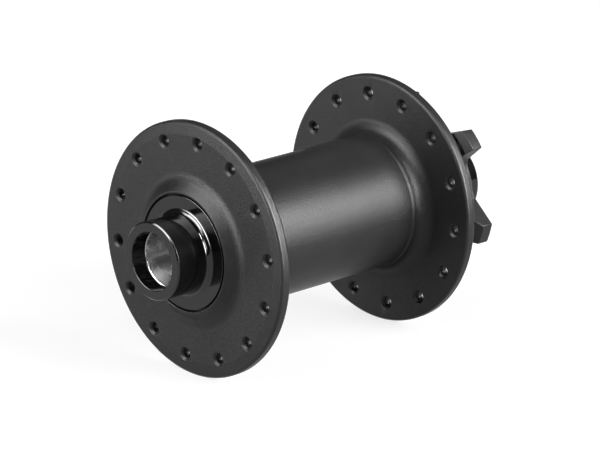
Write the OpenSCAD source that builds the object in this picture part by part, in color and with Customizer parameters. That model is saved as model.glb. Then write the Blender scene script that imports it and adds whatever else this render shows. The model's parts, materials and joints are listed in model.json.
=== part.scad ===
// Front hub for a disc-brake bicycle wheel, made for a 15 mm thru-axle.
// The axle line is Y. The disc side, the bicycle's left, is +Y, and +Z is up.
// The origin is on the axle line, midway between the two end faces.
// A shell turned from one blank spins on two sealed ball bearings round a hollow axle.
// An end cap pushes onto each end of the axle and is held by an o-ring.

/* [Hub] */
// Width over the end faces, which sit between the fork ends
hub_w = 110; // [106:1:118]
// Diameter of the wheel axle that passes through
thru_axle_d = 15; // [12:0.5:16]
// Room round the wheel axle, on the radius
thru_axle_room = 0.05; // [0.02:0.01:0.1]

/* [Shell] */
// Wall of the barrel round a bearing
barrel_wall = 3; // [2.5:0.1:4]
// Height of the shoulder behind each bearing, in from the bearing's rim
seat_shoulder = 1.8; // [1.5:0.1:2.4]
// Width of each spoke flange from the spoke holes' circle to the rim
flange_edge_w = 5; // [4:0.1:7]
// Radius that rounds the edges of both flanges
flange_edge_r = 0.8; // [0.4:0.1:1]
// Radius of the cove between the barrel and each flange
flange_cove_r = 4.3; // [2:0.1:5]
// Right end face to the outer face of the right flange
right_flange_inset = 13.5; // [13:0.1:14.5]
// Thickness of the right flange
right_flange_t = 3.3; // [2.8:0.1:4]
// Left end face to the outer face of the left flange
left_flange_inset = 26; // [25:0.1:28]
// Thickness of the left flange
left_flange_t = 2.9; // [2.4:0.1:3.4]
// Width of the band at the rim where the outer face of the right flange tapers
face_taper_w = 3.4; // [2:0.1:3.5]
// How far that face drops over the band
face_taper_drop = 0.35; // [0.1:0.05:0.6]
// Height of the small step where the barrel ends at the left cove
barrel_step = 0.3; // [0.1:0.05:0.6]

/* [Spoke holes] */
// Number of spoke holes in each flange
spokes_per_flange = 14; // [10:1:18]
// Diameter of the circle on which the spoke holes lie
spoke_circle_d = 58; // [56:0.5:59]
// Diameter of a spoke hole
spoke_hole_d = 2.6; // [2.3:0.1:2.8]
// Diameter of the countersink at each mouth of a spoke hole
spoke_sink_d = 3.7; // [3.2:0.1:4.2]
// Angle of the first hole of the right flange from +X, in degrees
spoke_phase = 110.4; // [90:0.1:120]

/* [Bearing lip] */
// Width of the raised lip round the right end cap
lip_w = 0.6; // [0.4:0.1:1]
// How far the lip stands proud of the end cap's dust disc
lip_proud = 0.1; // [0:0.05:0.3]
// Radius of the cove between the lip's flare and the right flange
lip_cove_r = 4; // [2:0.1:5]

/* [Disc mount] */
// Left end face to the face that the brake disc sits on
rotor_inset = 10.5; // [10:0.1:11]
// Diameter of the brake disc's bolt circle
rotor_circle_d = 44; // [44:0.1:44.4]
// Number of arms, with one bolt in each
rotor_arms = 6; // [5:1:6]
// Diameter of the bolt thread's core
rotor_hole_d = 4.2; // [4:0.1:4.4]
// Length of an arm past the centre of its bolt
arm_end = 4.1; // [3.7:0.1:4.5]
// Thickness of an arm
arm_t = 5.1; // [4:0.1:6]
// Height of the chamfer on the inner edge of each arm tip
arm_chamfer = 1.75; // [1:0.05:2]
// Width of an arm at its tip
arm_tip_w = 5.75; // [5.4:0.05:6.2]
// Distance of an arm's straight flank from the arm's centre line
arm_back = 2.35; // [2.1:0.05:2.6]
// Angle of an arm's flared flank to the arm's centre line, in degrees
arm_flare = 22.8; // [20:0.2:25]
// Height of the floor of the gaps between the arms over the low boss
arm_root_h = 1; // [0.9:0.1:1.3]
// Radius at the foot of an arm's straight flank
arm_back_root_r = 2.5; // [1.5:0.1:3]
// Radius at the foot of an arm's flared flank
arm_flare_root_r = 4; // [3:0.1:5]
// Radius of the cove under the arms
arm_cove_r = 2; // [1:0.1:2.4]
// Angle of the first arm from +X, in degrees
arm_phase = 40.5; // [30:0.1:50]
// Wall of the low boss that centres the brake disc
pilot_wall = 1.8; // [1.4:0.1:1.9]
// Height of that boss
pilot_h = 1; // [0.9:0.1:2]

/* [Bearings] */
// Height of both ball bearings from bore to rim
bearing_h = 6.5; // [6.3:0.1:6.7]
// Width of both ball bearings
bearing_w = 7; // [6.8:0.1:7.2]
// Right end face to the outer side of the right bearing
right_bearing_inset = 12.6; // [12.4:0.1:12.8]
// Left end face to the outer side of the left bearing
left_bearing_inset = 11.6; // [11.4:0.1:11.8]
// Diameter of a ball as a share of the bearing's height
ball_share = 0.61; // [0.58:0.01:0.62]
// Number of balls in each bearing
balls = 11; // [9:1:11]
// Height of each ring's land over its bore or rim as a share of the bearing's height
land_share = 0.31; // [0.28:0.01:0.32]
// Chamfer on the corners of both rings
ring_chamfer = 0.3; // [0.2:0.05:0.4]
// Room between a ball and its raceways
race_gap = 0.05; // [0.02:0.01:0.08]
// Thickness of the ball cage's sheet
cage_t = 0.3; // [0.25:0.05:0.35]
// Radial width of the ball cage
cage_w = 1.6; // [1.4:0.1:1.8]
// Diameter of the rivets that join the two halves of a cage
rivet_d = 0.6; // [0.5:0.05:0.7]
// Diameter of a rivet's head
rivet_head_d = 1.2; // [1:0.1:1.4]
// Height of a rivet's head
rivet_head_h = 0.2; // [0.15:0.05:0.25]
// Thickness of a bearing seal
seal_t = 0.6; // [0.5:0.05:0.65]
// Width of the step in the outer ring that a seal seats in
seal_seat_w = 1; // [0.9:0.05:1]
// Height of that step
seal_seat_h = 0.65; // [0.5:0.05:0.7]
// How far a seal's face lies inside the bearing's face
seal_inset = 0.15; // [0.1:0.05:0.2]
// Bevel at a seal's inner lip
seal_bevel = 0.1; // [0.05:0.05:0.2]
// How far a seal's thin wall reaches under the outer ring's land
seal_reach = 0.4; // [0.3:0.05:0.5]

/* [Axle] */
// Wall of the axle inside a bearing
axle_wall = 0.95; // [0.9:0.01:1]
// Height of the shoulders that the bearings' inner rings sit against
axle_shoulder = 1.25; // [1:0.05:1.5]
// How far each end of the axle lies inside its end face
axle_inset = 4.5; // [4:0.1:5]
// Chamfer at each mouth of the axle's bore
axle_chamfer = 0.25; // [0.15:0.05:0.4]

/* [End caps] */
// Wall of the nose round the axle, from the bearing's bore outwards
nose_wall = 1.9; // [1.6:0.05:2]
// Room round the wheel axle in the nose's mouth, on the radius
nose_room = 0.25; // [0.2:0.05:0.5]
// Chamfer round the end face
nose_chamfer = 0.35; // [0.2:0.05:0.5]
// Radius of the cove between the nose and the dust disc
nose_cove_r = 1.7; // [1:0.1:2]
// How far the dust disc stands out past the bearing's rim
dust_over = 0.1; // [0:0.05:0.2]
// Thickness of the dust disc
dust_t = 1.2; // [1:0.1:1.4]
// Depth of the dust disc's counterbore in the shell, up to the bearing's face
dust_floor = 0.2; // [0.1:0.05:0.3]
// Length of the spigot that presses on the bearing's inner ring
spigot_l = 0.7; // [0.6:0.1:0.9]
// Height of that spigot over the bearing's bore
spigot_h = 1.4; // [1.2:0.1:1.6]
// Thickness of the o-ring's cord
oring_t = 0.8; // [0.7:0.05:0.9]
// Width of the groove that holds the o-ring
oring_groove_w = 1.2; // [1:0.1:1.4]
// Centre of the o-ring groove from the end of the axle
oring_inset = 3.2; // [2.8:0.1:3.6]

/* [Clearances] */
// Room between the dust disc and the shell, on the radius
dust_gap = 0.5; // [0.3:0.05:0.6]
// Slip of the end caps on the axle, on the radius
cap_slip = 0.04; // [0.02:0.01:0.06]
// Room round the o-ring's cord, the rivets and the seals in their seats
small_gap = 0.03; // [0.02:0.01:0.05]
// Running gap between a seal and the bearing's inner ring
seal_gap = 0.1; // [0.05:0.05:0.15]
// Room between a ball and its cage
cage_gap = 0.08; // [0.05:0.01:0.1]
// How far each rounding cuts past its tangent, so that it meets the flats at an edge
bite = 0.005; // [0.004:0.001:0.01]

/* [Hidden] */
$fn = 96;
// How far a cut runs past the face that it opens
past = 1;

end_y = hub_w / 2;
axle_end_y = end_y - axle_inset;
axle_bore_r = thru_axle_d / 2 + thru_axle_room;

inner_bore_r = axle_bore_r + axle_wall;
seat_r = inner_bore_r + bearing_h;
right_bearing_y = end_y - right_bearing_inset;
left_bearing_y = end_y - left_bearing_inset;
right_seat_y = right_bearing_y - bearing_w;
left_seat_y = left_bearing_y - bearing_w;
right_mid_y = right_bearing_y - bearing_w / 2;
left_mid_y = left_bearing_y - bearing_w / 2;

nose_r = inner_bore_r + nose_wall;
nose_bore_r = thru_axle_d / 2 + nose_room;
dust_r = seat_r + dust_over;
dust_bore_r = dust_r + dust_gap;
right_dust_y = right_bearing_y + spigot_l + dust_t;
left_dust_y = left_bearing_y + spigot_l + dust_t;

barrel_r = seat_r + barrel_wall;
barrel_bore_r = seat_r - seat_shoulder;
spoke_circle_r = spoke_circle_d / 2;
flange_r = spoke_circle_r + flange_edge_w;
right_flange_y = end_y - right_flange_inset;
right_back_y = right_flange_y - right_flange_t;
left_back_y = end_y - left_flange_inset;
left_flange_y = left_back_y - left_flange_t;
lip_r = dust_bore_r + lip_w;
lip_y = right_dust_y + lip_proud;

rotor_face_y = end_y - rotor_inset;
rotor_circle_r = rotor_circle_d / 2;
pilot_r = dust_bore_r + pilot_wall;
arm_tip_r = rotor_circle_r + arm_end;
arm_root_r = pilot_r + arm_root_h;
arm_under_y = rotor_face_y - arm_t;
arm_pitch = 360 / rotor_arms;
// The tip's corners lie on the circle over the tips
arm_front = arm_tip_w - arm_back;
arm_corner = [sqrt(arm_tip_r ^ 2 - arm_front ^ 2), arm_front];
flare_out = [sin(arm_flare), cos(arm_flare)];
flare_in = [-cos(arm_flare), sin(arm_flare)];
flare_reach = arm_corner * flare_out;
// The bolt hole is as far from one flank as from the other
bolt_lean = asin((flare_reach - rotor_circle_r * sin(arm_flare) - arm_back)
    / (rotor_circle_r * (1 + cos(arm_flare))));

pitch_r = (inner_bore_r + seat_r) / 2;
ball_r = bearing_h * ball_share / 2;
race_r = ball_r + race_gap;
pocket_r = ball_r + cage_gap;
inner_land_r = inner_bore_r + bearing_h * land_share;
outer_land_r = seat_r - bearing_h * land_share;
seal_seat_r = outer_land_r + seal_seat_h;

// Turns a profile, drawn as radius against place along the axle, about the axle line
module lathe() rotate([-90, 0, 0]) rotate_extrude() children();

// Stands its children, drawn along +Y at the axle line, at an angle and a radius
module around(angle, radius) rotate([0, -angle, 0]) translate([radius, 0, 0]) children();

// A straight round bar from one place along the axle to another
module bar(y0, y1, d0, d1) translate([0, y0, 0]) rotate([-90, 0, 0])
    cylinder(h = y1 - y0, d1 = d0, d2 = d1, $fn = 48);

// A bend is a corner of a profile, the directions of its two sides away from it, and the
// radius of the arc that rounds it. For a cove the profile has the arc's two ends in
// place of the corner, and the arc's circle is then cut away.
function bend(corner, to_a, to_b, radius) = [corner, to_a / norm(to_a), to_b / norm(to_b), radius];
function bend_half(b) = acos(b[1] * b[2]) / 2;
function bend_ends(b) = [for (side = [b[1], b[2]])
    b[0] + side * (b[3] - bite) / tan(bend_half(b))];
function bend_middle(b) = b[0]
    + (b[1] + b[2]) / norm(b[1] + b[2]) * (b[3] - bite) / sin(bend_half(b));

module cove(b) translate(bend_middle(b)) circle(r = b[3]);

// What rounding an edge takes away: the tip between the corner and the arc
module edge(b) difference() {
    polygon(concat([2 * b[0] - bend_middle(b)], bend_ends(b)));
    cove(b);
}

lip_cove = bend([lip_r + lip_y - right_flange_y, -right_flange_y], [-1, -1], [1, 0], lip_cove_r);
right_cove = bend([barrel_r, -right_back_y], [1, 0], [0, 1], flange_cove_r);
left_cove = bend([barrel_r + barrel_step, left_flange_y], [0, -1], [1, 0], flange_cove_r - barrel_step);
left_back_cove = bend([barrel_r, left_back_y], [1, 0], [0, 1], flange_cove_r);
arm_cove = bend([barrel_r, arm_under_y], [0, -1], [1, 0], arm_cove_r);

// Outline of the turned shell, from the right lip along the outside and back inside
module shell_profile() difference() {
    polygon(concat(
        [[dust_bore_r, -lip_y], [lip_r, -lip_y]],
        bend_ends(lip_cove),
        [[flange_r - face_taper_w, -right_flange_y], [flange_r, -right_flange_y + face_taper_drop],
            [flange_r, -right_back_y]],
        bend_ends(right_cove),
        [[barrel_r, left_flange_y - flange_cove_r]],
        bend_ends(left_cove),
        [[flange_r, left_flange_y], [flange_r, left_back_y]],
        bend_ends(left_back_cove),
        bend_ends(arm_cove),
        [[arm_tip_r - arm_chamfer, arm_under_y], [arm_tip_r, arm_under_y + arm_chamfer],
            [arm_tip_r, rotor_face_y], [pilot_r, rotor_face_y],
            [pilot_r, rotor_face_y + pilot_h], [dust_bore_r, rotor_face_y + pilot_h],
            [dust_bore_r, left_bearing_y + dust_floor], [seat_r, left_bearing_y + dust_floor],
            [seat_r, left_seat_y], [barrel_bore_r, left_seat_y],
            [barrel_bore_r, -right_seat_y], [seat_r, -right_seat_y],
            [seat_r, -right_bearing_y - dust_floor], [dust_bore_r, -right_bearing_y - dust_floor]]
    ));
    cove(lip_cove);
    cove(right_cove);
    cove(left_cove);
    cove(left_back_cove);
    cove(arm_cove);
    edge(bend([flange_r, -right_flange_y + face_taper_drop],
        [-face_taper_w, -face_taper_drop], [0, 1], flange_edge_r));
    edge(bend([flange_r, -right_back_y], [-1, 0], [0, -1], flange_edge_r));
    edge(bend([flange_r, left_flange_y], [-1, 0], [0, 1], flange_edge_r));
    edge(bend([flange_r, left_back_y], [-1, 0], [0, -1], flange_edge_r));
}

// What the cutter removes between the arms, in plan. An arm that points along +X has a
// straight flank, a flank that flares towards its root, and a radius at the foot of each.
module arm_gaps() {
    back_c = [sqrt((arm_root_r + arm_back_root_r) ^ 2 - (arm_back + arm_back_root_r) ^ 2),
        -arm_back - arm_back_root_r];
    flare_c = (flare_reach + arm_flare_root_r) * flare_out
        - sqrt((arm_root_r + arm_flare_root_r) ^ 2 - (flare_reach + arm_flare_root_r) ^ 2) * flare_in;
    difference() {
        circle(r = arm_tip_r + past);
        circle(r = arm_root_r);
        for (i = [0 : rotor_arms - 1]) rotate(arm_phase + i * arm_pitch)
            polygon([
                [0, 0],
                back_c * arm_root_r / (arm_root_r + arm_back_root_r),
                [back_c[0], -arm_back],
                [arm_tip_r + past, -arm_back],
                arm_corner - past * flare_in,
                flare_c - arm_flare_root_r * flare_out,
                flare_c * arm_root_r / (arm_root_r + arm_flare_root_r)
            ]);
    }
    for (i = [0 : rotor_arms - 1]) rotate(arm_phase + i * arm_pitch) {
        translate(back_c) circle(r = arm_back_root_r + bite);
        translate(flare_c) circle(r = arm_flare_root_r + bite);
    }
}

// A hole along the axle's direction with a countersink at each mouth
module sunk_hole(y0, y1, hole_d, sink_d) {
    bar(y0 - past, y1 + past, hole_d, hole_d);
    bar(y0 - past, y0 + (sink_d - hole_d) / 2, sink_d + 2 * past, hole_d);
    bar(y1 - (sink_d - hole_d) / 2, y1 + past, hole_d, sink_d + 2 * past);
}

module spoke_holes(y0, y1, phase) for (i = [0 : spokes_per_flange - 1])
    around(phase + i * 360 / spokes_per_flange, spoke_circle_r)
        sunk_hole(y0, y1, spoke_hole_d, spoke_sink_d);

module hub_shell() color("#2b2b2d") difference() {
    lathe() shell_profile();
    translate([0, rotor_face_y + past / 2, 0]) rotate([90, 0, 0])
        linear_extrude(arm_t + arm_cove_r + past / 2) arm_gaps();
    spoke_holes(-right_flange_y, -right_back_y, spoke_phase);
    // The left flange's holes lie halfway between those of the right flange
    spoke_holes(left_flange_y, left_back_y, spoke_phase + 180 / spokes_per_flange);
    for (i = [0 : rotor_arms - 1])
        around(arm_phase + bolt_lean + i * arm_pitch, rotor_circle_r)
            bar(arm_under_y - past, rotor_face_y + past, rotor_hole_d, rotor_hole_d);
}

module axle() color("#c9ccd0") lathe() polygon([
    [axle_bore_r + axle_chamfer, -axle_end_y],
    [inner_bore_r, -axle_end_y],
    [inner_bore_r, -right_seat_y],
    [inner_bore_r + axle_shoulder, -right_seat_y],
    [inner_bore_r + axle_shoulder, left_seat_y],
    [inner_bore_r, left_seat_y],
    [inner_bore_r, axle_end_y],
    [axle_bore_r + axle_chamfer, axle_end_y],
    [axle_bore_r, axle_end_y - axle_chamfer],
    [axle_bore_r, -axle_end_y + axle_chamfer]
]);

// One end cap, drawn with its end face at end_y. The other is its mirror image.
module endcap(dust_y, ring_y) color("#161618") lathe() difference() {
    sleeve_r = inner_bore_r + cap_slip;
    nose_cove = bend([nose_r, dust_y], [0, 1], [1, 0], nose_cove_r);
    polygon(concat(
        [[nose_bore_r, end_y], [nose_r - nose_chamfer, end_y], [nose_r, end_y - nose_chamfer]],
        bend_ends(nose_cove),
        [[dust_r, dust_y], [dust_r, dust_y - dust_t],
            [inner_bore_r + spigot_h, dust_y - dust_t], [inner_bore_r + spigot_h, ring_y],
            [sleeve_r, ring_y], [sleeve_r, axle_end_y], [nose_bore_r, axle_end_y]]
    ));
    cove(nose_cove);
    translate([0, axle_end_y - oring_inset - oring_groove_w / 2])
        square([sleeve_r + oring_t + small_gap, oring_groove_w]);
}

module oring() color("#1d1d1f") lathe()
    translate([inner_bore_r + small_gap + oring_t / 2, axle_end_y - oring_inset])
        circle(d = oring_t, $fn = 32);

// Outer ring of a ball bearing, centred on its own mid plane
module outer_ring() color("#b9bcc0") lathe() difference() {
    polygon([
        [outer_land_r, -bearing_w / 2 + seal_seat_w],
        [seal_seat_r, -bearing_w / 2 + seal_seat_w],
        [seal_seat_r, -bearing_w / 2],
        [seat_r - ring_chamfer, -bearing_w / 2],
        [seat_r, -bearing_w / 2 + ring_chamfer],
        [seat_r, bearing_w / 2 - ring_chamfer],
        [seat_r - ring_chamfer, bearing_w / 2],
        [seal_seat_r, bearing_w / 2],
        [seal_seat_r, bearing_w / 2 - seal_seat_w],
        [outer_land_r, bearing_w / 2 - seal_seat_w]
    ]);
    translate([pitch_r, 0]) circle(r = race_r);
}

module inner_ring() color("#b9bcc0") lathe() difference() {
    polygon([
        [inner_bore_r, -bearing_w / 2 + ring_chamfer],
        [inner_bore_r + ring_chamfer, -bearing_w / 2],
        [inner_land_r, -bearing_w / 2],
        [inner_land_r, bearing_w / 2],
        [inner_bore_r + ring_chamfer, bearing_w / 2],
        [inner_bore_r, bearing_w / 2 - ring_chamfer]
    ]);
    translate([pitch_r, 0]) circle(r = race_r);
}

module ball_set(r) for (i = [0 : balls - 1]) around(i * 360 / balls, pitch_r) sphere(r = r, $fn = 32);

module balls_of_bearing() color("#d8dadd") ball_set(ball_r);

// Half of a riveted ribbon cage: a flat ring with a cup over each ball, on the +Y side
module cage_half() color("#9b8f6a") difference() {
    intersection() {
        union() {
            ball_set(pocket_r + cage_t);
            bar(0, cage_t, 2 * seat_r, 2 * seat_r);
        }
        lathe() translate([pitch_r - cage_w / 2, 0]) square([cage_w, pocket_r + cage_t + past]);
    }
    ball_set(pocket_r);
    for (i = [0 : balls - 1]) around((i + 0.5) * 360 / balls, pitch_r)
        bar(-past, past, rivet_d + 2 * small_gap, rivet_d + 2 * small_gap);
}

module cage_rivets() color("#8d8d8f") for (i = [0 : balls - 1])
    around((i + 0.5) * 360 / balls, pitch_r) {
        bar(-cage_t, cage_t, rivet_d, rivet_d);
        bar(cage_t, cage_t + rivet_head_h, rivet_head_d, rivet_head_d - rivet_head_h);
        bar(-cage_t - rivet_head_h, -cage_t, rivet_head_d - rivet_head_h, rivet_head_d);
    }

// Rubber seal on the +Y side of a bearing: a bead in the outer ring's seat, a thin
// wall and a lip that runs close to the inner ring
module seal() color("#26282b") lathe() {
    seat_y = bearing_w / 2 - seal_seat_w;
    face_y = bearing_w / 2 - seal_inset;
    bead_r = seal_seat_r - small_gap;
    edge_r = inner_land_r + seal_gap;
    polygon([
        [edge_r, face_y - seal_t],
        [outer_land_r - seal_reach, face_y - seal_t],
        [outer_land_r, seat_y],
        [bead_r, seat_y],
        [bead_r, face_y],
        [edge_r + 2 * seal_bevel, face_y],
        [edge_r, face_y - seal_bevel]
    ]);
}

// Places something drawn for the +Y side of the hub, or its mirror image on the -Y side
module on_left(y) translate([0, y, 0]) children();
module on_right(y) mirror([0, 1, 0]) translate([0, y, 0]) children();

module endcap_left() endcap(left_dust_y, left_bearing_y);
module endcap_right() on_right(0) endcap(right_dust_y, right_bearing_y);
module oring_left() oring();
module oring_right() on_right(0) oring();
module bearing_left_outer_ring() on_left(left_mid_y) outer_ring();
module bearing_left_inner_ring() on_left(left_mid_y) inner_ring();
module bearing_left_balls() on_left(left_mid_y) balls_of_bearing();
module bearing_left_cage_outer() on_left(left_mid_y) cage_half();
module bearing_left_cage_inner() on_left(left_mid_y) mirror([0, 1, 0]) cage_half();
module bearing_left_cage_rivets() on_left(left_mid_y) cage_rivets();
module bearing_left_seal_outer() on_left(left_mid_y) seal();
module bearing_left_seal_inner() on_left(left_mid_y) mirror([0, 1, 0]) seal();
module bearing_right_outer_ring() on_right(right_mid_y) outer_ring();
module bearing_right_inner_ring() on_right(right_mid_y) inner_ring();
module bearing_right_balls() on_right(right_mid_y) balls_of_bearing();
module bearing_right_cage_outer() on_right(right_mid_y) cage_half();
module bearing_right_cage_inner() on_right(right_mid_y) mirror([0, 1, 0]) cage_half();
module bearing_right_cage_rivets() on_right(right_mid_y) cage_rivets();
module bearing_right_seal_outer() on_right(right_mid_y) seal();
module bearing_right_seal_inner() on_right(right_mid_y) mirror([0, 1, 0]) seal();

hub_shell();
axle();
endcap_right();
endcap_left();
oring_right();
oring_left();
bearing_right_outer_ring();
bearing_right_inner_ring();
bearing_right_balls();
bearing_right_cage_outer();
bearing_right_cage_inner();
bearing_right_cage_rivets();
bearing_right_seal_outer();
bearing_right_seal_inner();
bearing_left_outer_ring();
bearing_left_inner_ring();
bearing_left_balls();
bearing_left_cage_outer();
bearing_left_cage_inner();
bearing_left_cage_rivets();
bearing_left_seal_outer();
bearing_left_seal_inner();
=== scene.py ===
import json
from math import acos, asin, atan2, cos, pi, radians, sin, sqrt, tan

import bpy
import bmesh
import numpy as np
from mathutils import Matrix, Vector


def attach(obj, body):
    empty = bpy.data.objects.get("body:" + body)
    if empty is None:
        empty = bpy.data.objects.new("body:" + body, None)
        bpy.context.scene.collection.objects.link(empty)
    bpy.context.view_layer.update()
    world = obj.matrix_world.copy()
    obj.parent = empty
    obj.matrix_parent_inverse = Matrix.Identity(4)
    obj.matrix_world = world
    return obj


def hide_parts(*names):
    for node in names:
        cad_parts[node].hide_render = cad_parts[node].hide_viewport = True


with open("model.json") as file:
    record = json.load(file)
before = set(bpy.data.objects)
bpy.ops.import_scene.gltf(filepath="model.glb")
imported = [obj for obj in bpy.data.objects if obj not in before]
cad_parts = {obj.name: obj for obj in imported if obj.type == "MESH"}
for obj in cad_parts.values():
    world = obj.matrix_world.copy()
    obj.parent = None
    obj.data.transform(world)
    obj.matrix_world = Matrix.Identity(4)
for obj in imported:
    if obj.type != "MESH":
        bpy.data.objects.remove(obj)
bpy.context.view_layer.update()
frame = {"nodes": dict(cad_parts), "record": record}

MM = 0.001

# Sizes of the hub in millimetres, as in the part's source. A name in _Y is a distance along the
# axle from the middle of the hub, without a sign, on the side that it names. A name in _EDGE_R is
# the rounding of an edge.

# Ends, and the barrel with the small step where it meets the left flange's cove. Two plain rings
# divide the barrel's length
END_Y = 55.0
BARREL_R, BARREL_STEP, STEP_EDGE_R = 18.0, 0.3, 0.1
BARREL_RING_YS = (-12, 8)

# Flanges. The face of each looks to the right, as the photograph shows it, and its back to the left
FLANGE_R, FLANGE_EDGE_R, FLANGE_COVE_R = 34.0, 0.8, 4.3
RIGHT_FACE_Y, RIGHT_BACK_Y = 41.5, 38.2
LEFT_FACE_Y, LEFT_BACK_Y = 26.1, 29.0
TAPER_W, TAPER_DROP, TAPER_BEND_R = 3.4, 0.35, 3.0
FLAT_HOLD, COVE_SLACK = 0.2, 0.12

# Spoke holes, with the first one's angle in degrees
SPOKES, SPOKE_CIRCLE_R, SPOKE_R, SPOKE_PHASE = 14, 29.0, 1.3, 110.4
SINK_R, SINK_LIP_W, SINK_ROOT_R, SINK_ROOT_DROP = 1.9, 0.12, 0.2, 0.03
SINK_BREAK_W, SINK_BREAK_H, BACK_SINK, BACK_EDGE_R = 0.05, 0.08, 0.12, 0.1

# Lip round the right cap, and the bores for caps and bearings
DUST_R, DUST_BORE_R, LIP_R, LIP_Y, LIP_COVE_R = 15.1, 15.6, 16.2, 44.4, 4.0
LIP_BORE_EDGE_R, LIP_EDGE_R, DUST_EDGE_R = 0.24, 0.2, 0.15
SEAT_R, SEAT_EDGE_R, SHOULDER_R, SHOULDER_EDGE_R = 15.0, 0.1, 13.2, 0.2
BEARING_W, RIGHT_BEARING_Y, LEFT_BEARING_Y, DUST_FLOOR = 7.0, 42.4, 43.4, 0.2

# Disc mount, with the first arm's angle in degrees
ARMS, ARM_PHASE, ARM_FLARE = 6, 40.5, radians(22.8)
ROTOR_Y, ARM_T, ARM_TIP_R, ARM_TIP_W, ARM_BACK = 44.5, 5.1, 26.1, 5.75, 2.35
ARM_ROOT_R, BACK_ROOT_R, FLARE_ROOT_R, ARM_COVE_R = 18.4, 2.5, 4.0, 2.0
ARM_CORNER_R, ARM_CHAMFER, ARM_CHAMFER_EDGE_R = 0.35, 1.75, 0.3
ARM_EDGE, ARM_EDGE_MIDDLE = 0.14, 0.04
ARMS_BEGIN_Y = 34.0
PILOT_R, PILOT_H, PILOT_ROOT_R, PILOT_EDGE_R = 17.4, 1.0, 0.1, 0.25
BOLT_CIRCLE_R, BOLT_CORE_R, BOLT_THREAD_R, THREAD_PITCH = 22.0, 2.1, 2.5, 0.8
BOLT_FRONT_MOUTH, BOLT_BACK_MOUTH = 0.45, 0.3

# Axle
AXLE_END_Y, AXLE_BORE_R, AXLE_R, AXLE_SHOULDER_R = 50.5, 7.55, 8.5, 9.75
AXLE_MOUTH_R, AXLE_EDGE_R = 0.25, 0.12

# End caps
NOSE_R, NOSE_BORE_R, NOSE_COVE_R, NOSE_MOUTH_R = 10.4, 7.75, 1.7, 0.16
NOSE_CHAMFER, CHAMFER_INNER_R, CHAMFER_OUTER_R = 0.35, 0.05, 0.08
DUST_T, DUST_RIM_R, DUST_BACK_R = 1.2, 0.12, 0.1
SPIGOT_R, SPIGOT_L, SPIGOT_EDGE_R = 9.9, 0.7, 0.1
SLEEVE_R, SLEEVE_MOUTH_R, STOP_EDGE_R = 8.54, 0.12, 0.05
GROOVE_Y, GROOVE_W, GROOVE_R, GROOVE_EDGE_R = 47.3, 1.2, 9.37, 0.08

# Cutters stand out so far past the surface they cut, and flare there
CUT_PAST, FRONT_FLARE_W, FRONT_FLARE_H, BACK_FLARE_H = 1, 0.9, 0.3, 0.7

# Fineness of the meshes
AXLE_SIDES, CAP_SIDES, DRILL_SIDES, TAP_SIDES, TAP_ROWS = 160, 192, 36, 28, 66
# A rounding has chords of CHORD_TURN, in radians, and fewer if it is smaller than FULL_ARC_R
CHORD_TURN, FEWEST_CHORDS, MOST_CHORDS, SMALL_ARC_SHARE, FULL_ARC_R = 0.115, 3, 18, 0.35, 3
# Steps along the outline of an arm
ROOT_STEPS, FLANK_STEPS, CORNER_STEPS, TIP_STEPS, GAP_STEPS = 8, 5, 5, 8, 12
# Distances in metres within which points merge and a face is too thin to keep
MERGE_REACH, THIN_FACE = 1e-6, 1e-7
# An edge that turns more than this stays sharp
SHARP_ANGLE = radians(28)


# Helpers for nodes and objects

def node(tree, kind, feeds, **settings):
    """A new node. Each socket named in feeds is linked to an output or set to a plain value."""
    made = tree.nodes.new(kind)
    for name, value in settings.items():
        setattr(made, name, value)
    for socket, source in feeds.items():
        if isinstance(source, bpy.types.NodeSocket):
            tree.links.new(source, made.inputs[socket])
        else:
            made.inputs[socket].default_value = source
    return made


def new_object(name, data):
    obj = bpy.data.objects.new(name, data)
    bpy.context.scene.collection.objects.link(obj)
    return obj


def aimed_object(name, data, spot, look):
    """A new camera or light at a spot, which looks along a direction."""
    obj = new_object(name, data)
    obj.location = spot
    obj.rotation_mode = "QUATERNION"
    obj.rotation_quaternion = look.to_track_quat("-Z", "Y")
    return obj


# Materials

# Nearly all of a noise texture lies between these values
NOISE_LOW, NOISE_HIGH = 0.3, 0.7


def material(name):
    mat = bpy.data.materials.new(name)
    mat.use_nodes = True
    tree = mat.node_tree
    tree.nodes.clear()
    shader = tree.nodes.new("ShaderNodeBsdfPrincipled")
    node(tree, "ShaderNodeOutputMaterial", {0: shader.outputs[0]})
    return mat, tree, shader


def object_place(tree):
    return tree.nodes.new("ShaderNodeTexCoord").outputs["Object"]


def lathe_place(tree, place):
    """Distance from the axle line and place along it, in which a lathe's marks are plain lines."""
    split = node(tree, "ShaderNodeSeparateXYZ", {0: place})
    across = node(tree, "ShaderNodeCombineXYZ", {0: split.outputs[0], 1: split.outputs[2]})
    length = node(tree, "ShaderNodeVectorMath", {0: across.outputs[0]}, operation="LENGTH")
    feeds = {0: length.outputs["Value"], 1: split.outputs[1]}
    return node(tree, "ShaderNodeCombineXYZ", feeds).outputs[0]


def noise(tree, place, scale, detail, rough=0.5):
    feeds = {"Vector": place, "Scale": scale, "Detail": detail, "Roughness": rough}
    return node(tree, "ShaderNodeTexNoise", feeds).outputs[0]


def set_colour(tree, shader, value, dark, light):
    ramp = node(tree, "ShaderNodeValToRGB", {0: value})
    ends = zip(ramp.color_ramp.elements, (NOISE_LOW, NOISE_HIGH), (dark, light))
    for element, position, colour in ends:
        element.position = position
        element.color = (*colour, 1)
    tree.links.new(ramp.outputs[0], shader.inputs["Base Color"])


def set_roughness(tree, shader, value, low, high):
    feeds = {0: value, "From Min": NOISE_LOW, "From Max": NOISE_HIGH, "To Min": low, "To Max": high}
    spread = node(tree, "ShaderNodeMapRange", feeds)
    tree.links.new(spread.outputs[0], shader.inputs["Roughness"])


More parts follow.
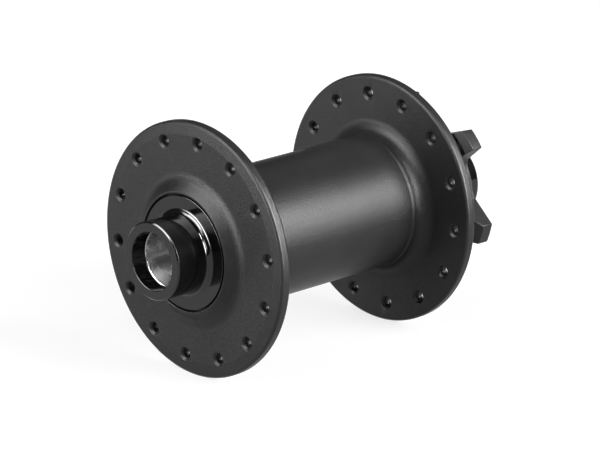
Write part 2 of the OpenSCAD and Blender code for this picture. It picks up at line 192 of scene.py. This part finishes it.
def set_relief(tree, shader, height, depth, strength):
    feeds = {"Height": height, "Distance": depth, "Strength": strength}
    tree.links.new(node(tree, "ShaderNodeBump", feeds).outputs[0], shader.inputs["Normal"])


def satin_black_anodise():
    mat, tree, shader = material("satin_black_anodise")
    place = object_place(tree)
    mottle = noise(tree, place, scale=140, detail=3)
    set_colour(tree, shader, mottle, dark=(0.0043, 0.0043, 0.0044), light=(0.0055, 0.0055, 0.0056))
    # Bead blasting leaves small dimples, whose floors shine more than their edges
    grain = noise(tree, place, scale=2300, detail=3, rough=0.7)
    set_roughness(tree, shader, grain, 0.28, 0.36)
    set_relief(tree, shader, grain, depth=0.00011, strength=0.9)
    shader.inputs["IOR"].default_value = 1.5
    shader.inputs["Specular IOR Level"].default_value = 0.2
    return mat


def gloss_black_anodise():
    mat, tree, shader = material("gloss_black_anodise")
    place = object_place(tree)
    marks = noise(tree, lathe_place(tree, place), scale=9000, detail=2, rough=0.6)
    cloud = noise(tree, place, scale=160, detail=3)
    set_colour(tree, shader, cloud, dark=(0.0006, 0.0006, 0.0006), light=(0.0012, 0.0012, 0.0012))
    set_roughness(tree, shader, cloud, 0.085, 0.115)
    set_relief(tree, shader, marks, depth=0.000003, strength=0.4)
    shader.inputs["IOR"].default_value = 1.52
    return mat


def bare_aluminium():
    mat, tree, shader = material("bare_aluminium")
    place = object_place(tree)
    marks = noise(tree, lathe_place(tree, place), scale=5200, detail=3, rough=0.65)
    cloud = noise(tree, place, scale=260, detail=2)
    set_colour(tree, shader, marks, dark=(0.46, 0.46, 0.465), light=(0.66, 0.66, 0.665))
    set_roughness(tree, shader, cloud, 0.23, 0.31)
    set_relief(tree, shader, marks, depth=0.000006, strength=0.3)
    shader.inputs["Metallic"].default_value = 1.0
    # The lathe's grooves run round the bore, so its shine is drawn out along the axle
    shader.inputs["Anisotropic"].default_value = 1.0
    along = node(tree, "ShaderNodeVectorTransform", {0: (0, 1, 0)},
                 vector_type="VECTOR", convert_from="OBJECT", convert_to="WORLD")
    tree.links.new(along.outputs[0], shader.inputs["Tangent"])
    return mat


def bearing_steel():
    mat, tree, shader = material("bearing_steel")
    place = object_place(tree)
    marks = noise(tree, lathe_place(tree, place), scale=9000, detail=2, rough=0.6)
    cloud = noise(tree, place, scale=300, detail=2)
    set_colour(tree, shader, cloud, dark=(0.5, 0.51, 0.53), light=(0.6, 0.61, 0.63))
    set_roughness(tree, shader, cloud, 0.16, 0.26)
    set_relief(tree, shader, marks, depth=0.000005, strength=0.5)
    shader.inputs["Metallic"].default_value = 1.0
    return mat


def ball_steel():
    mat, tree, shader = material("ball_steel")
    cloud = noise(tree, object_place(tree), scale=500, detail=2)
    set_colour(tree, shader, cloud, dark=(0.68, 0.69, 0.71), light=(0.76, 0.77, 0.79))
    set_roughness(tree, shader, cloud, 0.04, 0.08)
    shader.inputs["Metallic"].default_value = 1.0
    return mat


def cage_steel():
    mat, tree, shader = material("cage_steel")
    # Rolled sheet, whose marks are drawn out along the axle
    drawn = node(tree, "ShaderNodeMapping", {0: object_place(tree), "Scale": (1.0, 0.2, 1.0)})
    rolled = noise(tree, drawn.outputs[0], scale=1800, detail=3, rough=0.6)
    set_colour(tree, shader, rolled, dark=(0.42, 0.38, 0.3), light=(0.56, 0.52, 0.42))
    set_roughness(tree, shader, rolled, 0.28, 0.42)
    set_relief(tree, shader, rolled, depth=0.00001, strength=0.4)
    shader.inputs["Metallic"].default_value = 1.0
    return mat


def black_rubber():
    mat, tree, shader = material("black_rubber")
    grain = noise(tree, object_place(tree), scale=2500, detail=3, rough=0.6)
    set_colour(tree, shader, grain, dark=(0.02, 0.02, 0.021), light=(0.032, 0.032, 0.034))
    set_roughness(tree, shader, grain, 0.5, 0.68)
    set_relief(tree, shader, grain, depth=0.00002, strength=0.4)
    return mat


def pale_floor():
    mat, _, shader = material("pale_floor")
    shader.inputs["Base Color"].default_value = (0.06, 0.06, 0.06, 1)
    shader.inputs["Roughness"].default_value = 0.9
    shader.inputs["Specular IOR Level"].default_value = 0.0
    shader.inputs["Emission Color"].default_value = (1, 1, 1, 1)
    shader.inputs["Emission Strength"].default_value = 0.54
    return mat


# Turned pieces

def rounded(corners):
    """A closed path through (radius, y) or (radius, y, rounding) corners.

    Each rounded corner becomes an arc of short chords, fewer on a small rounding."""
    points, n = [], len(corners)
    for i, corner in enumerate(corners):
        r, y, rounding = (*corner, 0)[:3]
        if rounding <= 0:
            points.append((r, y))
            continue
        here = Vector((r, y))
        before = (Vector(corners[i - 1][:2]) - here).normalized()
        after = (Vector(corners[(i + 1) % n][:2]) - here).normalized()
        half = acos(max(-1, min(1, before.dot(after)))) / 2
        middle = here + (before + after).normalized() * (rounding / sin(half))
        start = here + before * (rounding / tan(half)) - middle
        end = here + after * (rounding / tan(half)) - middle
        turn = atan2(start.cross(end), start.dot(end))
        share = min(1.0, SMALL_ARC_SHARE + rounding / FULL_ARC_R)
        steps = max(FEWEST_CHORDS, min(MOST_CHORDS, round(abs(turn) / CHORD_TURN * share)))
        first = atan2(start.y, start.x)
        for k in range(steps + 1):
            angle = first + turn * k / steps
            points.append((middle.x + rounding * cos(angle), middle.y + rounding * sin(angle)))
    return points


def stack(name, rings, mat, flat=False):
    """A closed skin through rings of points that all have the same count, in millimetres.

    The last ring joins the first. Rings of no radius at both ends close a solid body instead.
    With flat, every face is a triangle, because a bent face upsets the cut of a hole."""
    co = np.array(rings, dtype=float)
    rows, cols = co.shape[:2]
    here = np.arange(rows * cols).reshape(rows, cols)
    above = np.roll(here, -1, axis=0)
    corners = [here, above, np.roll(above, -1, axis=1), np.roll(here, -1, axis=1)]
    quads = np.stack(corners, axis=-1).reshape(-1, 4)
    mesh = bpy.data.meshes.new(name)
    mesh.from_pydata((co.reshape(-1, 3) * MM).tolist(), [], quads.tolist())
    bm = bmesh.new()
    bm.from_mesh(mesh)
    bmesh.ops.remove_doubles(bm, verts=bm.verts, dist=MERGE_REACH)
    bmesh.ops.dissolve_degenerate(bm, edges=bm.edges, dist=THIN_FACE)
    bmesh.ops.delete(bm, geom=[e for e in bm.edges if not e.link_faces], context="EDGES")
    if flat:
        bmesh.ops.triangulate(bm, faces=bm.faces)
    bmesh.ops.recalc_face_normals(bm, faces=bm.faces)
    bm.to_mesh(mesh)
    bm.free()
    mesh.materials.append(mat)
    return new_object(name, mesh)


def ring(angles, radii, y):
    points = [radii * np.cos(angles), np.full(len(angles), float(y)), radii * np.sin(angles)]
    return np.stack(points, axis=-1)


def turned(name, corners, mat, sides, mirror=False):
    angles = np.arange(sides) * 2 * pi / sides
    way = -1 if mirror else 1
    return stack(name, [ring(angles, r, way * y) for r, y in rounded(corners)], mat)


def shade(obj):
    for face in obj.data.polygons:
        face.use_smooth = True
    obj.data.set_sharp_from_angle(angle=SHARP_ANGLE)
    obj.modifiers.new("even_normals", "WEIGHTED_NORMAL").keep_sharp = True


# Outline of the disc mount, seen along the axle

def turned_by(x, y, angle):
    return x * cos(angle) - y * sin(angle), x * sin(angle) + y * cos(angle)


def arc(centre, r, start, end, steps):
    """Points from the direction start to the direction end, the short way, without the last."""
    first = atan2(start.y, start.x)
    turn = atan2(start.cross(end), start.dot(end))
    angles = [first + turn * k / steps for k in range(steps)]
    return [centre + Vector((cos(a), sin(a))) * r for a in angles]


def line(start, end, steps):
    return [start.lerp(end, k / steps) for k in range(steps)]


def reach_out(far, aside):
    """How far out a point lies that is so far from the middle and so far aside."""
    return sqrt(far ** 2 - aside ** 2)


def mount_outline(tip_r, inset):
    """Points round the six arms in order of their angle.

    An inset draws the outline that much smaller all round."""
    flare_out = Vector((sin(ARM_FLARE), cos(ARM_FLARE)))
    flare_way = Vector((cos(ARM_FLARE), -sin(ARM_FLARE)))
    front = ARM_TIP_W - ARM_BACK
    reach = Vector((reach_out(ARM_TIP_R, front), front)).dot(flare_out) - inset
    back, tip, root = ARM_BACK - inset, tip_r - inset, ARM_ROOT_R - inset
    back_r, flare_r = BACK_ROOT_R + inset, FLARE_ROOT_R + inset
    corner_r = ARM_CORNER_R - inset

    # Centres of the two roots and of the two corners of an arm
    back_c = Vector((reach_out(root + back_r, back + back_r), -back - back_r))
    flare_c = flare_out * (reach + flare_r) + flare_way * reach_out(root + flare_r, reach + flare_r)
    back_corner = Vector((reach_out(tip - corner_r, back - corner_r), corner_r - back))
    flare_corner = (flare_out * (reach - corner_r)
                    + flare_way * reach_out(tip - corner_r, reach - corner_r))

    origin, down = Vector((0, 0)), Vector((0, -1))
    pitch = 2 * pi / ARMS
    next_root = Vector(turned_by(back_c.x, back_c.y, pitch))
    points = arc(back_c, back_r, -back_c, -down, ROOT_STEPS)
    points += line(Vector((back_c.x, -back)), Vector((back_corner.x, -back)), FLANK_STEPS)
    points += arc(back_corner, corner_r, down, back_corner, CORNER_STEPS)
    points += arc(origin, tip, back_corner, flare_corner, TIP_STEPS)
    points += arc(flare_corner, corner_r, flare_corner, flare_out, CORNER_STEPS)
    points += line(flare_corner + flare_out * corner_r, flare_c - flare_out * flare_r, FLANK_STEPS)
    points += arc(flare_c, flare_r, -flare_out, -flare_c, ROOT_STEPS)
    points += arc(origin, root, flare_c, next_root, GAP_STEPS)

    plan = np.array([tuple(p) for p in points])
    turns = [radians(ARM_PHASE) + k * pitch for k in range(ARMS)]
    arms = [np.stack(turned_by(plan[:, 0], plan[:, 1], a), axis=-1) for a in turns]
    return np.concatenate(arms)


def arm_ring(tip_r, inset, y):
    plan = mount_outline(tip_r, inset)
    return np.stack([plan[:, 0], np.full(len(plan), float(y)), plan[:, 1]], axis=-1)


# The shell

def hub_shell(mat):
    plan = mount_outline(ARM_TIP_R, 0)
    angles = np.arctan2(plan[:, 1], plan[:, 0])
    limit = np.hypot(plan[:, 0], plan[:, 1])

    under = ROTOR_Y - ARM_T
    flare_end = LIP_R + LIP_Y - RIGHT_FACE_Y
    left_step_y = LEFT_FACE_Y - FLANGE_COVE_R
    # Extra rings hold the flanges' flat faces flat right up to their roundings. The lip's flare
    # comes down at 45 degrees, so its cove reaches the tangent of half that past the corner
    cove_end = BARREL_R + FLANGE_COVE_R + FLAT_HOLD
    edge_start = FLANGE_R - FLANGE_EDGE_R - FLAT_HOLD
    flare_hold = flare_end + LIP_COVE_R * tan(pi / 8) + FLAT_HOLD
    taper_y = -RIGHT_FACE_Y + TAPER_DROP * (edge_start - FLANGE_R + TAPER_W) / TAPER_W

    # The first and last corner only give the roundings next to them their direction
    outside = rounded([
        (SEAT_R, -RIGHT_BEARING_Y - DUST_FLOOR),
        (DUST_BORE_R, -RIGHT_BEARING_Y - DUST_FLOOR),
        (DUST_BORE_R, -LIP_Y, LIP_BORE_EDGE_R),
        (LIP_R, -LIP_Y, LIP_EDGE_R),
        (flare_end, -RIGHT_FACE_Y, LIP_COVE_R),
        (flare_hold, -RIGHT_FACE_Y),
        (FLANGE_R - TAPER_W - 2 * FLAT_HOLD, -RIGHT_FACE_Y),
        (FLANGE_R - TAPER_W, -RIGHT_FACE_Y, TAPER_BEND_R),
        (edge_start, taper_y),
        (FLANGE_R, -RIGHT_FACE_Y + TAPER_DROP, FLANGE_EDGE_R),
        (FLANGE_R, -RIGHT_BACK_Y, FLANGE_EDGE_R),
        (edge_start, -RIGHT_BACK_Y),
        (cove_end, -RIGHT_BACK_Y),
        (BARREL_R, -RIGHT_BACK_Y, FLANGE_COVE_R),
        *[(BARREL_R, y) for y in BARREL_RING_YS],
        (BARREL_R, left_step_y - BARREL_STEP, STEP_EDGE_R),
        (BARREL_R + BARREL_STEP, left_step_y + BARREL_STEP, STEP_EDGE_R),
        (BARREL_R + BARREL_STEP, LEFT_FACE_Y, FLANGE_COVE_R - BARREL_STEP - COVE_SLACK),
        (cove_end, LEFT_FACE_Y),
        (edge_start, LEFT_FACE_Y),
        (FLANGE_R, LEFT_FACE_Y, FLANGE_EDGE_R),
        (FLANGE_R, LEFT_BACK_Y, FLANGE_EDGE_R),
        (edge_start, LEFT_BACK_Y),
        (cove_end, LEFT_BACK_Y),
        (BARREL_R, LEFT_BACK_Y, FLANGE_COVE_R),
        (BARREL_R, under, ARM_COVE_R),
        (ARM_TIP_R, under),
    ])[1:-1]
    # Where a ring passes the floor of a gap between two arms, the gap's outline is its limit
    rings = []
    for r, y in outside:
        radii = np.minimum(r, limit) if y > ARMS_BEGIN_Y else np.full(len(angles), r)
        rings.append(ring(angles, radii, y))

    # The arms, with an edge of two chords behind and in front and the chamfer between
    chamfer_r = ARM_TIP_R - ARM_CHAMFER
    rings += [arm_ring(chamfer_r, ARM_EDGE, under),
              arm_ring(chamfer_r, ARM_EDGE_MIDDLE, under + ARM_EDGE_MIDDLE),
              arm_ring(chamfer_r + ARM_EDGE, 0, under + ARM_EDGE)]
    chamfer = rounded([(chamfer_r, under), (ARM_TIP_R, under + ARM_CHAMFER, ARM_CHAMFER_EDGE_R),
                       (ARM_TIP_R, ROTOR_Y)])[1:-1]
    rings += [arm_ring(r, 0, y) for r, y in chamfer]
    rings += [arm_ring(ARM_TIP_R, 0, ROTOR_Y - ARM_EDGE),
              arm_ring(ARM_TIP_R, ARM_EDGE_MIDDLE, ROTOR_Y - ARM_EDGE_MIDDLE),
              arm_ring(ARM_TIP_R, ARM_EDGE, ROTOR_Y)]

    inside = rounded([
        (FLANGE_R, ROTOR_Y),
        (PILOT_R, ROTOR_Y, PILOT_ROOT_R),
        (PILOT_R, ROTOR_Y + PILOT_H, PILOT_EDGE_R),
        (DUST_BORE_R, ROTOR_Y + PILOT_H, DUST_EDGE_R),
        (DUST_BORE_R, LEFT_BEARING_Y + DUST_FLOOR),
        (SEAT_R, LEFT_BEARING_Y + DUST_FLOOR, SEAT_EDGE_R),
        (SEAT_R, LEFT_BEARING_Y - BEARING_W),
        (SHOULDER_R, LEFT_BEARING_Y - BEARING_W, SHOULDER_EDGE_R),
        (SHOULDER_R, -RIGHT_BEARING_Y + BEARING_W, SHOULDER_EDGE_R),
        (SEAT_R, -RIGHT_BEARING_Y + BEARING_W),
        (SEAT_R, -RIGHT_BEARING_Y - DUST_FLOOR, SEAT_EDGE_R),
        (DUST_BORE_R, -RIGHT_BEARING_Y - DUST_FLOOR),
    ])[1:-1]
    rings += [ring(angles, np.full(len(angles), r), y) for r, y in inside]
    return stack("shell_body", rings, mat)


# Cutters of the shell's holes, each on the axle line

def spoke_cutter(front, back, mat):
    """A spoke hole's drill, with the wide countersink at the front face and a small one behind."""
    deep = front + SINK_R - SPOKE_R
    return turned("spoke_drill", [
        (0, front - CUT_PAST),
        (SINK_R + FRONT_FLARE_W, front - FRONT_FLARE_H),
        (SINK_R + SINK_LIP_W, front),
        (SINK_R - SINK_BREAK_W, front + SINK_BREAK_H),
        (SPOKE_R, deep + SINK_ROOT_DROP, SINK_ROOT_R),
        (SPOKE_R, back - BACK_SINK, BACK_EDGE_R),
        (SPOKE_R + BACK_SINK, back),
        (SPOKE_R + BACK_SINK + CUT_PAST, back + BACK_FLARE_H),
        (0, back + CUT_PAST),
    ], mat, DRILL_SIDES)


def thread_cutter(mat):
    """The tap of a bolt hole: its radius follows a thread of the real pitch."""
    low, high = ROTOR_Y - ARM_T - CUT_PAST, ROTOR_Y + CUT_PAST
    angles = np.arange(TAP_SIDES) * 2 * pi / TAP_SIDES
    rows = [ring(angles, np.zeros(TAP_SIDES), low)]
    for y in np.linspace(low, high, TAP_ROWS):
        saw = (y / THREAD_PITCH + angles / (2 * pi)) % 1.0
        r = BOLT_CORE_R + (BOLT_THREAD_R - BOLT_CORE_R) * np.abs(2 * saw - 1)
        mouth = max(0.0, y - ROTOR_Y + BOLT_FRONT_MOUTH, ROTOR_Y - ARM_T + BOLT_BACK_MOUTH - y)
        rows.append(ring(angles, np.maximum(r, BOLT_CORE_R + mouth), y))
    rows.append(ring(angles, np.zeros(TAP_SIDES), high))
    return stack("bolt_tap", rows, mat, flat=True)


def holes_tree():
    """Cuts holes in a circle about the axle line, each with a copy of one cutter."""
    tree = bpy.data.node_groups.new("holes_on_a_circle", "GeometryNodeTree")
    kinds = {"Body": "Geometry", "Cutter": "Object", "Count": "Int", "Circle Radius": "Float",
             "First Angle": "Float", "Finish": "Material"}
    sockets = {}
    for name, kind in kinds.items():
        made = tree.interface.new_socket(name=name, in_out="INPUT", socket_type="NodeSocket" + kind)
        sockets[name] = made.identifier
    tree.interface.new_socket(name="Result", in_out="OUTPUT", socket_type="NodeSocketGeometry")

    given = tree.nodes.new("NodeGroupInput").outputs
    circle = node(tree, "GeometryNodeMeshCircle",
                  {"Vertices": given["Count"], "Radius": given["Circle Radius"]})
    upright = node(tree, "GeometryNodeTransform",
                   {0: circle.outputs[0], "Rotation": (pi / 2, 0, 0)})
    back = node(tree, "ShaderNodeMath", {0: given["First Angle"], 1: -1.0}, operation="MULTIPLY")
    turn = node(tree, "ShaderNodeCombineXYZ", {1: back.outputs[0]})
    phase = node(tree, "GeometryNodeTransform",
                 {0: upright.outputs[0], "Rotation": turn.outputs[0]})
    cutter = node(tree, "GeometryNodeObjectInfo", {0: given["Cutter"]})
    copies = node(tree, "GeometryNodeInstanceOnPoints",
                  {"Points": phase.outputs[0], "Instance": cutter.outputs["Geometry"]})
    real = node(tree, "GeometryNodeRealizeInstances", {0: copies.outputs[0]})
    cut = node(tree, "GeometryNodeMeshBoolean",
               {"Mesh 1": given["Body"], "Mesh 2": real.outputs[0]},
               operation="DIFFERENCE", solver="EXACT")
    finish = node(tree, "GeometryNodeSetMaterial",
                  {0: cut.outputs[0], "Material": given["Finish"]})
    node(tree, "NodeGroupOutput", {0: finish.outputs[0]})
    return tree, sockets


def cut_holes(body, tree, sockets, cutter, count, circle_r, first, mat):
    """Cuts the holes, the first one at an angle in degrees, and removes the cutter."""
    step = body.modifiers.new("holes", "NODES")
    step.node_group = tree
    values = {"Cutter": cutter, "Count": count, "Circle Radius": circle_r * MM,
              "First Angle": radians(first), "Finish": mat}
    for name, value in values.items():
        step[sockets[name]] = value
    graph = bpy.context.evaluated_depsgraph_get()
    mesh = bpy.data.meshes.new_from_object(body.evaluated_get(graph))
    body.modifiers.remove(step)
    body.data = mesh
    bpy.data.objects.remove(cutter)


# The pieces

finishes = {make.__name__: make() for make in (
    satin_black_anodise, gloss_black_anodise, bare_aluminium, bearing_steel, ball_steel,
    cage_steel, black_rubber)}
satin, gloss = finishes["satin_black_anodise"], finishes["gloss_black_anodise"]
silver = finishes["bare_aluminium"]

# The bolts stand midway between the two flanks of an arm, so they lean from its centre line
front = ARM_TIP_W - ARM_BACK
flare_reach = reach_out(ARM_TIP_R, front) * sin(ARM_FLARE) + front * cos(ARM_FLARE)
bolt_lean = asin((flare_reach - BOLT_CIRCLE_R * sin(ARM_FLARE) - ARM_BACK)
                 / (BOLT_CIRCLE_R * (1 + cos(ARM_FLARE))))
bolt_phase = ARM_PHASE + bolt_lean * 180 / pi
half_pitch = 180 / SPOKES

shell = hub_shell(satin)
tree, sockets = holes_tree()
for cutter, count, circle_r, first in (
        (spoke_cutter(-RIGHT_FACE_Y, -RIGHT_BACK_Y, satin), SPOKES, SPOKE_CIRCLE_R, SPOKE_PHASE),
        (spoke_cutter(LEFT_FACE_Y, LEFT_BACK_Y, satin), SPOKES, SPOKE_CIRCLE_R,
         SPOKE_PHASE + half_pitch),
        (thread_cutter(satin), ARMS, BOLT_CIRCLE_R, bolt_phase)):
    cut_holes(shell, tree, sockets, cutter, count, circle_r, first, satin)
shade(shell)
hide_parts("hub_shell")
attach(shell, "shell")

axle = turned("axle_tube", [
    (AXLE_BORE_R, -AXLE_END_Y, AXLE_MOUTH_R),
    (AXLE_R, -AXLE_END_Y, AXLE_EDGE_R),
    (AXLE_R, -RIGHT_BEARING_Y + BEARING_W),
    (AXLE_SHOULDER_R, -RIGHT_BEARING_Y + BEARING_W, SHOULDER_EDGE_R),
    (AXLE_SHOULDER_R, LEFT_BEARING_Y - BEARING_W, SHOULDER_EDGE_R),
    (AXLE_R, LEFT_BEARING_Y - BEARING_W),
    (AXLE_R, AXLE_END_Y, AXLE_EDGE_R),
    (AXLE_BORE_R, AXLE_END_Y, AXLE_MOUTH_R),
], silver, AXLE_SIDES)
shade(axle)
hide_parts("axle")
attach(axle, "spindle")


def end_cap(name, bearing_y, mirror):
    """A cap drawn on the left side, from its nose's mouth outside, round and back inside."""
    dust_y = bearing_y + SPIGOT_L + DUST_T
    groove_in, groove_out = GROOVE_Y - GROOVE_W / 2, GROOVE_Y + GROOVE_W / 2
    cap = turned(name, [
        (NOSE_BORE_R, END_Y, NOSE_MOUTH_R),
        (NOSE_R - NOSE_CHAMFER, END_Y, CHAMFER_INNER_R),
        (NOSE_R, END_Y - NOSE_CHAMFER, CHAMFER_OUTER_R),
        (NOSE_R, dust_y, NOSE_COVE_R),
        (DUST_R, dust_y, DUST_RIM_R),
        (DUST_R, dust_y - DUST_T, DUST_BACK_R),
        (SPIGOT_R, dust_y - DUST_T),
        (SPIGOT_R, bearing_y, SPIGOT_EDGE_R),
        (SLEEVE_R, bearing_y, SLEEVE_MOUTH_R),
        (SLEEVE_R, groove_in),
        (GROOVE_R, groove_in, GROOVE_EDGE_R),
        (GROOVE_R, groove_out, GROOVE_EDGE_R),
        (SLEEVE_R, groove_out),
        (SLEEVE_R, AXLE_END_Y),
        (NOSE_BORE_R, AXLE_END_Y, STOP_EDGE_R),
    ], gloss, CAP_SIDES, mirror)
    shade(cap)
    return cap


for side, bearing_y in (("right", RIGHT_BEARING_Y), ("left", LEFT_BEARING_Y)):
    cap = end_cap("end_cap_" + side, bearing_y, side == "right")
    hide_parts("endcap_" + side)
    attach(cap, "spindle")

for part in frame["record"]["subparts"]:
    cad_node = frame["nodes"][part["node"]]
    cad_node.data.materials.clear()
    cad_node.data.materials.append(finishes[part["material_slot"]])


# The floor, in metres, which touches the flanges' rims

FLOOR_HALF, FLOOR_Z = 6.0, -FLANGE_R * MM


def floor():
    mesh = bpy.data.meshes.new("studio_floor")
    signs = ((-1, -1), (1, -1), (1, 1), (-1, 1))
    corners = [(a * FLOOR_HALF, b * FLOOR_HALF, FLOOR_Z) for a, b in signs]
    mesh.from_pydata(corners, [], [(0, 1, 2, 3)])
    mesh.materials.append(pale_floor())
    obj = new_object("studio_floor", mesh)


floor()

# Camera at the photograph's viewing angle, found from the outlines and hole circles
AZIMUTH, ELEVATION, DISTANCE = radians(46.37), radians(17.18), 0.9394
FOCAL_PX, PICTURE_W, SENSOR_W = 3537.0, 600, 36
ASIDE, UPWARD = -1.95 * MM, -1.87 * MM
NEAR, FAR = 0.05, 30
right = Vector((cos(AZIMUTH), sin(AZIMUTH), 0))
towards = Vector((sin(AZIMUTH) * cos(ELEVATION), -cos(AZIMUTH) * cos(ELEVATION), sin(ELEVATION)))
upward = towards.cross(right)
lens = bpy.data.cameras.new("photo_camera")
lens.sensor_width = SENSOR_W
lens.lens = FOCAL_PX / PICTURE_W * SENSOR_W
lens.clip_start, lens.clip_end = NEAR, FAR
spot = towards * DISTANCE + right * ASIDE + upward * UPWARD
bpy.context.scene.camera = aimed_object("photo_camera", lens, spot, -towards)

# Soft studio light. Each panel looks at the hub from its direction. After the direction come the
# distance, width and height in metres, the watts, and how far in from its edge the cloth fades
SOFT_EDGE = 0.35
PANELS = (
    ("front_softbox", (-0.22, -0.86, 0.38), 1.3, 1.05, 1.5, 27.5, 0.14),
    ("front_floor_strip", (-0.36, -0.93, 0.1), 1.3, 1.2, 0.42, 17.5, 0.2),
    ("front_top_softbox", (-0.24, -0.62, 0.75), 1.3, 1.6, 0.85, 30, 0.2),
    ("front_right_top_panel", (0.34, -0.6, 0.72), 1.3, 0.7, 0.5, 4, SOFT_EDGE),
    ("right_softbox", (0.9, 0.12, 0.36), 1.3, 0.6, 0.9, 34, SOFT_EDGE),
    ("low_barrel_softbox", (0.8, 0.37, 0.34), 1.3, 0.65, 0.6, 19.5, SOFT_EDGE),
    ("high_barrel_softbox", (0.7, 0.39, 0.53), 1.3, 0.65, 0.45, 28.5, SOFT_EDGE),
    ("right_front_panel", (0.84, -0.32, 0.43), 1.3, 0.7, 0.75, 7, SOFT_EDGE),
    ("right_top_panel", (0.62, 0.14, 0.77), 1.3, 0.55, 0.5, 17, SOFT_EDGE),
    ("right_floor_strip", (0.92, 0.32, 0.12), 1.3, 0.7, 0.34, 18.5, SOFT_EDGE),
    ("back_top_panel", (-0.45, 0.66, 0.6), 1.4, 0.5, 0.35, 0.15, SOFT_EDGE),
)


def panel(name, direction, distance, width, height, watts, border):
    """A softbox whose cloth fades towards its edges, with the middle made up for the loss."""
    data = bpy.data.lights.new(name, "AREA")
    data.shape = "RECTANGLE"
    data.size, data.size_y, data.energy = width, height, watts
    data.use_nodes = True
    tree = data.node_tree
    place = tree.nodes.new("ShaderNodeNewGeometry").outputs["Parametric"]
    across = node(tree, "ShaderNodeSeparateXYZ", {0: place})
    fades = []
    for axis in (0, 1):
        edge = node(tree, "ShaderNodeMath", {0: across.outputs[axis], 1: 0.5}, operation="PINGPONG")
        fade = node(tree, "ShaderNodeMapRange", {0: edge.outputs[0], "From Max": border},
                    interpolation_type="SMOOTHSTEP")
        fades.append(fade.outputs[0])
    both = node(tree, "ShaderNodeMath", {0: fades[0], 1: fades[1]}, operation="MULTIPLY")
    level = node(tree, "ShaderNodeMath", {0: both.outputs[0], 1: 1 / (1 - border) ** 2},
                 operation="MULTIPLY")
    tree.links.new(level.outputs[0], tree.nodes["Emission"].inputs["Strength"])
    way = Vector(direction).normalized()
    aimed_object(name, data, way * distance, -way)


for row in PANELS:
    panel(*row)

world = bpy.data.worlds.new("studio")
world.use_nodes = True
background = world.node_tree.nodes["Background"]
background.inputs["Color"].default_value = (1, 1, 1, 1)
background.inputs["Strength"].default_value = 0.05
bpy.context.scene.world = world

# Tones as on the photograph, whose pale ground is printed white
WHITE_POINT, TONE_POINTS = (0.75, 1.0), ((0.2, 0.2), (0.42, 0.45), (0.64, 0.89))
view = bpy.context.scene.view_settings
view.view_transform = "Standard"
view.use_curve_mapping = True
tones = view.curve_mapping.curves[3]
tones.points[1].location = WHITE_POINT
for point in TONE_POINTS:
    tones.points.new(*point)
view.curve_mapping.update()
